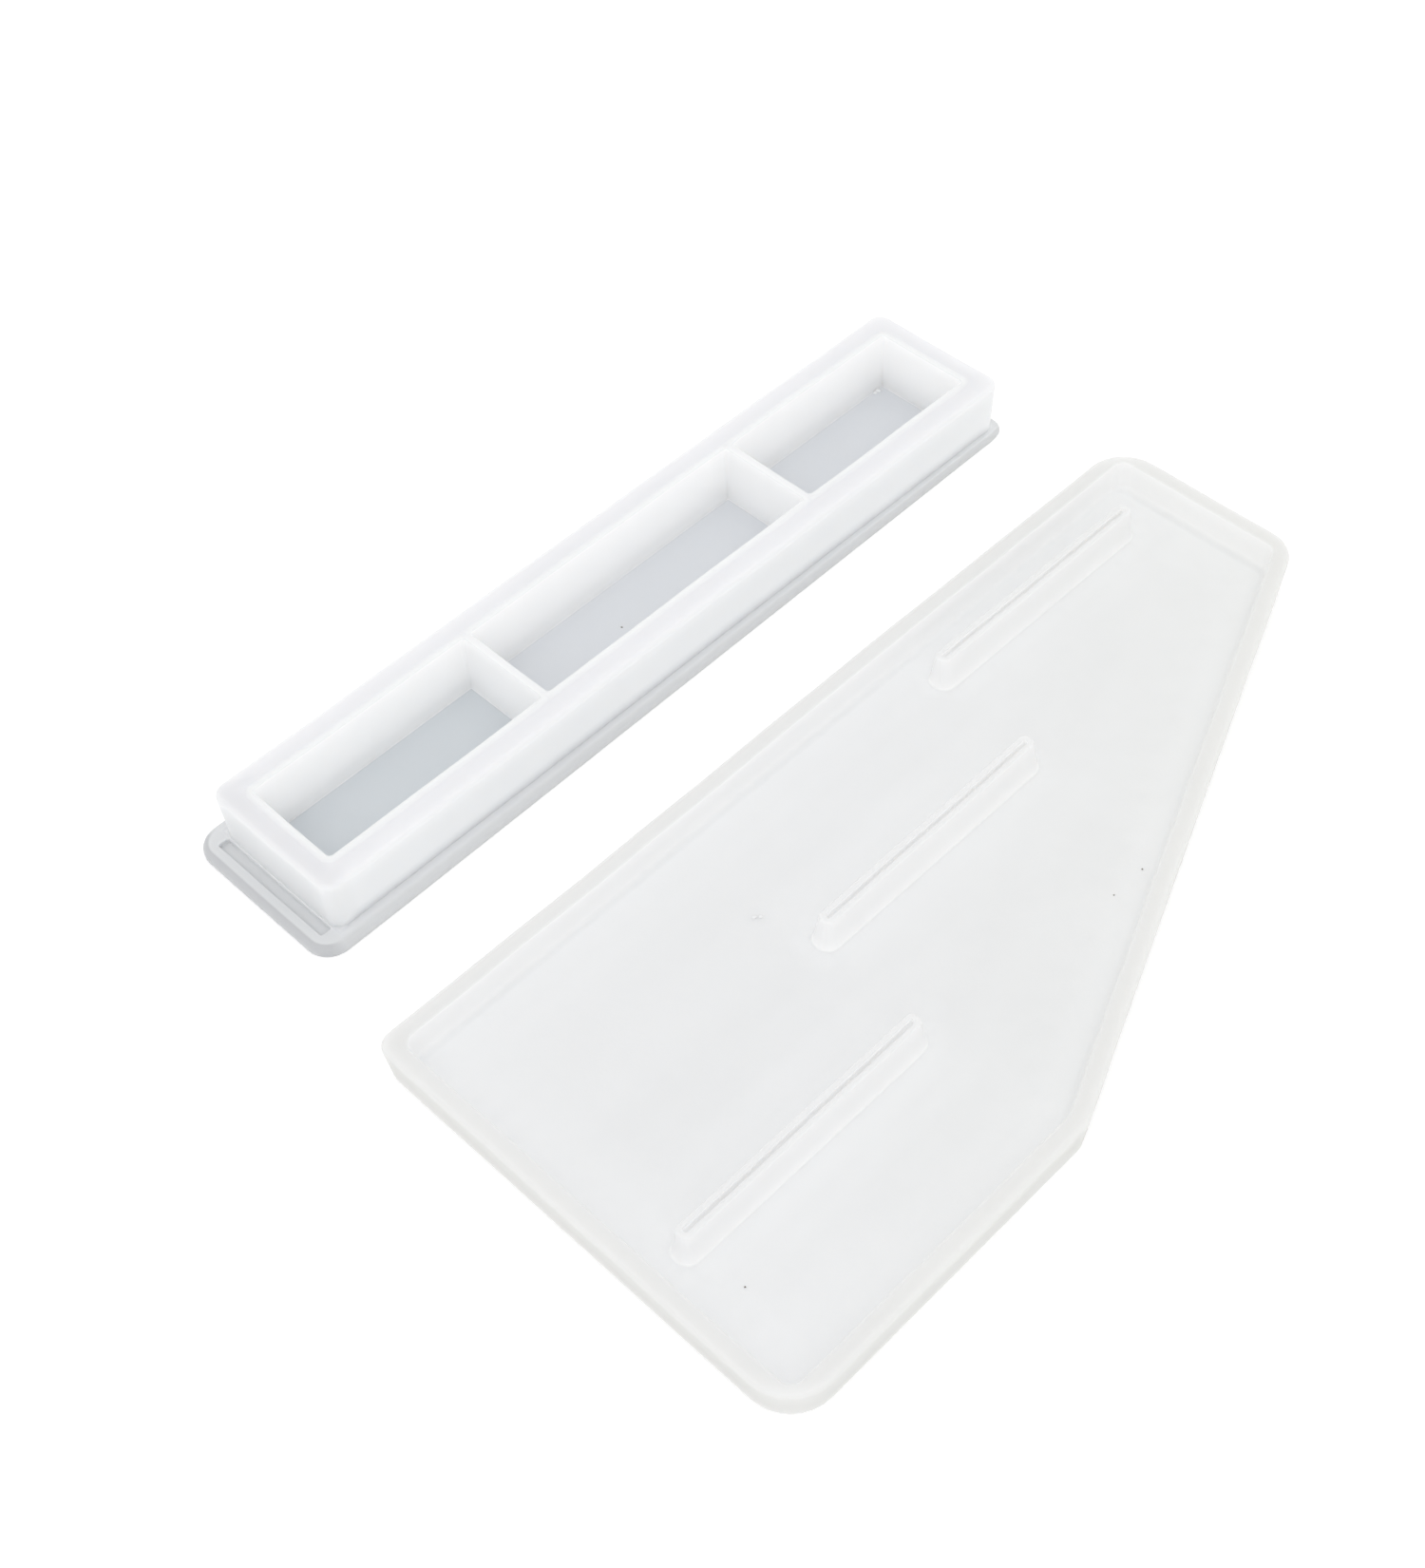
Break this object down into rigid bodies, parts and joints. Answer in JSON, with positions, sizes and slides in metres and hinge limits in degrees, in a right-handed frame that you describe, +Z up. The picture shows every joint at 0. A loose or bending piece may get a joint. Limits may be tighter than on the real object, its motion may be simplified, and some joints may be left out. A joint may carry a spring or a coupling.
{
  "type": "resin casting mould set",
  "caption": "Flexible casting mould set: a long low loaf mould with cells in a row, and a shallow five-sided panel tray with upright slot fins.",
  "frame": {"origin": "centre of the footprint that both moulds share, on the bench they lie on", "axes": "+X along the long edges, from the pull end of the loaf mould to its plain end, +Y from the panel mould towards the loaf mould, +Z up out of the open mouths"},
  "size_m": [0.2362, 0.1881, 0.0174],
  "materials": {
    "silicone_loaf": "satin",
    "silicone_panel": "satin"
  },
  "bodies": {
    "loaf": {"loaf_mould": "silicone_loaf"},
    "panel": {"panel_mould": "silicone_panel"}
  },
  "joints": [
    {"name": "panel_lift", "type": "slide", "parent": "loaf", "child": "panel", "axis": [0, 0, 1], "range_m": [0, 0.1]}
  ]
}
